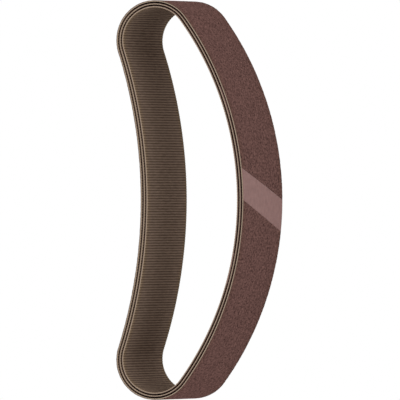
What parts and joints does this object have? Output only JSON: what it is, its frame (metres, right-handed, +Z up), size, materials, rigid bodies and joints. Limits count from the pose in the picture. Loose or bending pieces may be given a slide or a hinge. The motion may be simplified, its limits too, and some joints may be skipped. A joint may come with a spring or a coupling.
{
  "type": "nest of sanding belts",
  "caption": "Nest of narrow endless cloth sanding belts with a fine reddish-brown grain, standing on edge one inside another in a kidney-shaped loop.",
  "frame": {"origin": "middle of the base: the centre, in X and Y, of the box round the nest, on the surface that the belts stand on", "axes": "+Z up, across the belts' width; +Y along the nest's long side; +X out of the flank that bulges"},
  "size_m": [0.0388, 0.1166, 0.04],
  "materials": {
    "cloth_backing": "ribbed woven cotton stiffened with resin, light brown",
    "resin_bond": "dark brown phenolic resin",
    "abrasive_grain": "fine reddish-brown aluminium oxide grain",
    "splice_film": "satin pinkish-brown film"
  },
  "bodies": {
    "outer_belt": {"outer_belt_cloth_backing": "cloth_backing", "outer_belt_resin_bond": "resin_bond", "outer_belt_abrasive_grain": "abrasive_grain", "outer_belt_splice_film": "splice_film"},
    "middle_belt": {"middle_belt_cloth_backing": "cloth_backing", "middle_belt_resin_bond": "resin_bond", "middle_belt_abrasive_grain": "abrasive_grain", "middle_belt_splice_film": "splice_film"},
    "inner_belt": {"inner_belt_cloth_backing": "cloth_backing", "inner_belt_resin_bond": "resin_bond", "inner_belt_abrasive_grain": "abrasive_grain", "inner_belt_splice_film": "splice_film"}
  },
  "joints": [
    {"name": "middle_belt_slide", "type": "slide", "parent": "outer_belt", "child": "middle_belt", "axis": [0, 0, 1], "range_m": [0, 0.045]},
    {"name": "inner_belt_slide", "type": "slide", "parent": "outer_belt", "child": "inner_belt", "axis": [0, 0, 1], "range_m": [0, 0.045]}
  ]
}
